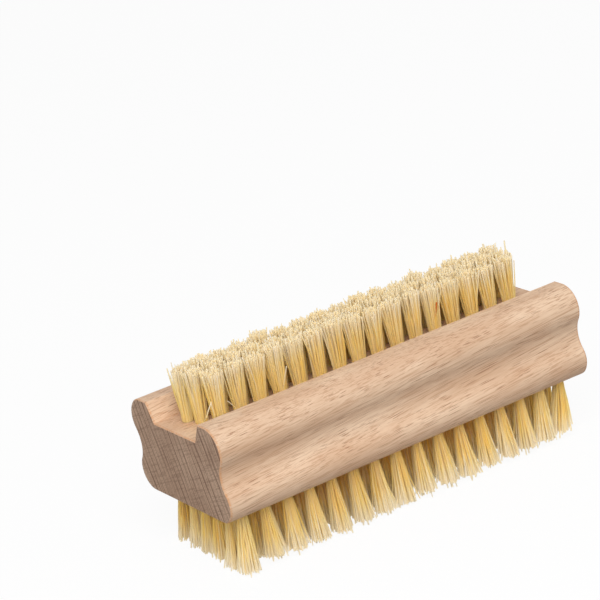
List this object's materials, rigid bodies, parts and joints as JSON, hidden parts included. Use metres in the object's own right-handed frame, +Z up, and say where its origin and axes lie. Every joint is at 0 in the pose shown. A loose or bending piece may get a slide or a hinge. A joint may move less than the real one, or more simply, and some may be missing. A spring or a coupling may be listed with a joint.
{
  "type": "nail brush",
  "caption": "Double-sided wooden nail brush: a grooved beech stock with short fibre tufts in a channel on top and longer tufts under its flat bottom.",
  "frame": {"origin": "on the plane of the lower tufts' tips, on which the brush stands, in the middle of its length and width", "axes": "+X along the length of the stock, +Y across it, +Z up out of the channel"},
  "size_m": [0.095, 0.037, 0.0432],
  "materials": {
    "beech": "raw, fine sanded",
    "fibre": "dry plant fibre",
    "anchor_wire": "tinned flat wire"
  },
  "bodies": {
    "root": {"stock": "beech", "upper_tufts_row_1": "fibre", "upper_tufts_row_2": "fibre", "upper_tufts_row_3": "fibre", "lower_tufts_row_1": "fibre", "lower_tufts_row_2": "fibre", "lower_tufts_row_3": "fibre", "lower_tufts_row_4": "fibre", "lower_tufts_row_5": "fibre", "lower_tufts_row_6": "fibre", "upper_anchors_row_1": "anchor_wire", "upper_anchors_row_2": "anchor_wire", "upper_anchors_row_3": "anchor_wire", "lower_anchors_row_1": "anchor_wire", "lower_anchors_row_2": "anchor_wire", "lower_anchors_row_3": "anchor_wire", "lower_anchors_row_4": "anchor_wire", "lower_anchors_row_5": "anchor_wire", "lower_anchors_row_6": "anchor_wire"}
  },
  "joints": []
}
